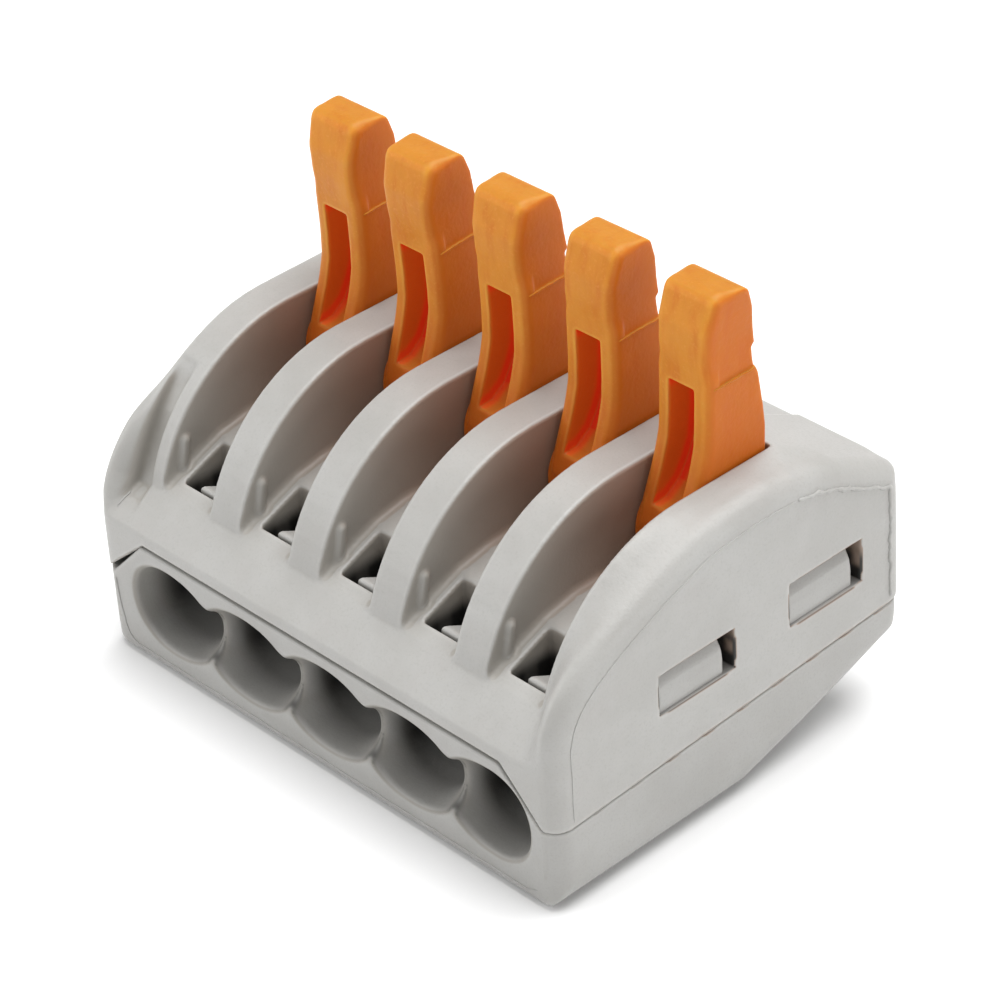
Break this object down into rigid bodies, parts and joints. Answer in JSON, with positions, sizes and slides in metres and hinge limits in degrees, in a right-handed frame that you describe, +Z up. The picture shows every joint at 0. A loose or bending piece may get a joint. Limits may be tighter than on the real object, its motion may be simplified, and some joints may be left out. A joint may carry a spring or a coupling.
{
  "type": "lever wire connector",
  "caption": "Grey plastic splicing connector with a row of orange levers that open spring clamps for stripped wires pushed into funnel-shaped entries.",
  "frame": {"origin": "middle of the underside, under the centre of the housing's width and depth", "axes": "+X along the row of poles, -Y towards the wire entries, +Z up; the levers stand open at rest"},
  "size_m": [0.0284, 0.0206, 0.0223],
  "materials": {
    "housing_grey": "moulded polyamide, fine satin",
    "lever_orange": "moulded polyamide, slightly translucent satin",
    "tinned_copper": "tin plated, dull",
    "spring_steel": "rolled stainless strip"
  },
  "bodies": {
    "housing": {"upper_housing": "housing_grey", "lower_housing": "housing_grey", "busbar": "tinned_copper", "clamp_spring_1": "spring_steel", "clamp_spring_2": "spring_steel", "clamp_spring_3": "spring_steel", "clamp_spring_4": "spring_steel", "clamp_spring_5": "spring_steel"},
    "lever_1_body": {"lever_1": "lever_orange"},
    "tongue_1_body": {"clamp_tongue_1": "spring_steel"},
    "lever_2_body": {"lever_2": "lever_orange"},
    "tongue_2_body": {"clamp_tongue_2": "spring_steel"},
    "lever_3_body": {"lever_3": "lever_orange"},
    "tongue_3_body": {"clamp_tongue_3": "spring_steel"},
    "lever_4_body": {"lever_4": "lever_orange"},
    "tongue_4_body": {"clamp_tongue_4": "spring_steel"},
    "lever_5_body": {"lever_5": "lever_orange"},
    "tongue_5_body": {"clamp_tongue_5": "spring_steel"}
  },
  "joints": [
    {"name": "lever_1_hinge", "type": "hinge", "parent": "housing", "child": "lever_1_body", "pos_m": [-0.00965, 0.00175, 0.0112], "axis": [1, 0, 0], "range_deg": [-2, 91]},
    {"name": "tongue_1_flex", "type": "hinge", "parent": "housing", "child": "tongue_1_body", "pos_m": [-0.00965, 0.00575, 0.0074], "axis": [1, 0, 0], "range_deg": [-15.97, 0.4]},
    {"name": "lever_2_hinge", "type": "hinge", "parent": "housing", "child": "lever_2_body", "pos_m": [-0.00465, 0.00175, 0.0112], "axis": [1, 0, 0], "range_deg": [-4, 89]},
    {"name": "tongue_2_flex", "type": "hinge", "parent": "housing", "child": "tongue_2_body", "pos_m": [-0.00465, 0.00575, 0.0074], "axis": [1, 0, 0], "range_deg": [-15.62, 0.75]},
    {"name": "lever_3_hinge", "type": "hinge", "parent": "housing", "child": "lever_3_body", "pos_m": [0.00035, 0.00175, 0.0112], "axis": [1, 0, 0], "range_deg": [-2, 91]},
    {"name": "tongue_3_flex", "type": "hinge", "parent": "housing", "child": "tongue_3_body", "pos_m": [0.00035, 0.00575, 0.0074], "axis": [1, 0, 0], "range_deg": [-15.97, 0.4]},
    {"name": "lever_4_hinge", "type": "hinge", "parent": "housing", "child": "lever_4_body", "pos_m": [0.00535, 0.00175, 0.0112], "axis": [1, 0, 0], "range_deg": [-1, 92]},
    {"name": "tongue_4_flex", "type": "hinge", "parent": "housing", "child": "tongue_4_body", "pos_m": [0.00535, 0.00575, 0.0074], "axis": [1, 0, 0], "range_deg": [-16.15, 0.23]},
    {"name": "lever_5_hinge", "type": "hinge", "parent": "housing", "child": "lever_5_body", "pos_m": [0.01035, 0.00175, 0.0112], "axis": [1, 0, 0], "range_deg": [0, 93]},
    {"name": "tongue_5_flex", "type": "hinge", "parent": "housing", "child": "tongue_5_body", "pos_m": [0.01035, 0.00575, 0.0074], "axis": [1, 0, 0], "range_deg": [-16.32, 0.05]}
  ],
  "couplings": [
    {"joint": "tongue_1_flex", "follows": "lever_1_hinge", "ratio": -0.175},
    {"joint": "tongue_2_flex", "follows": "lever_2_hinge", "ratio": -0.175},
    {"joint": "tongue_3_flex", "follows": "lever_3_hinge", "ratio": -0.175},
    {"joint": "tongue_4_flex", "follows": "lever_4_hinge", "ratio": -0.175},
    {"joint": "tongue_5_flex", "follows": "lever_5_hinge", "ratio": -0.175}
  ]
}
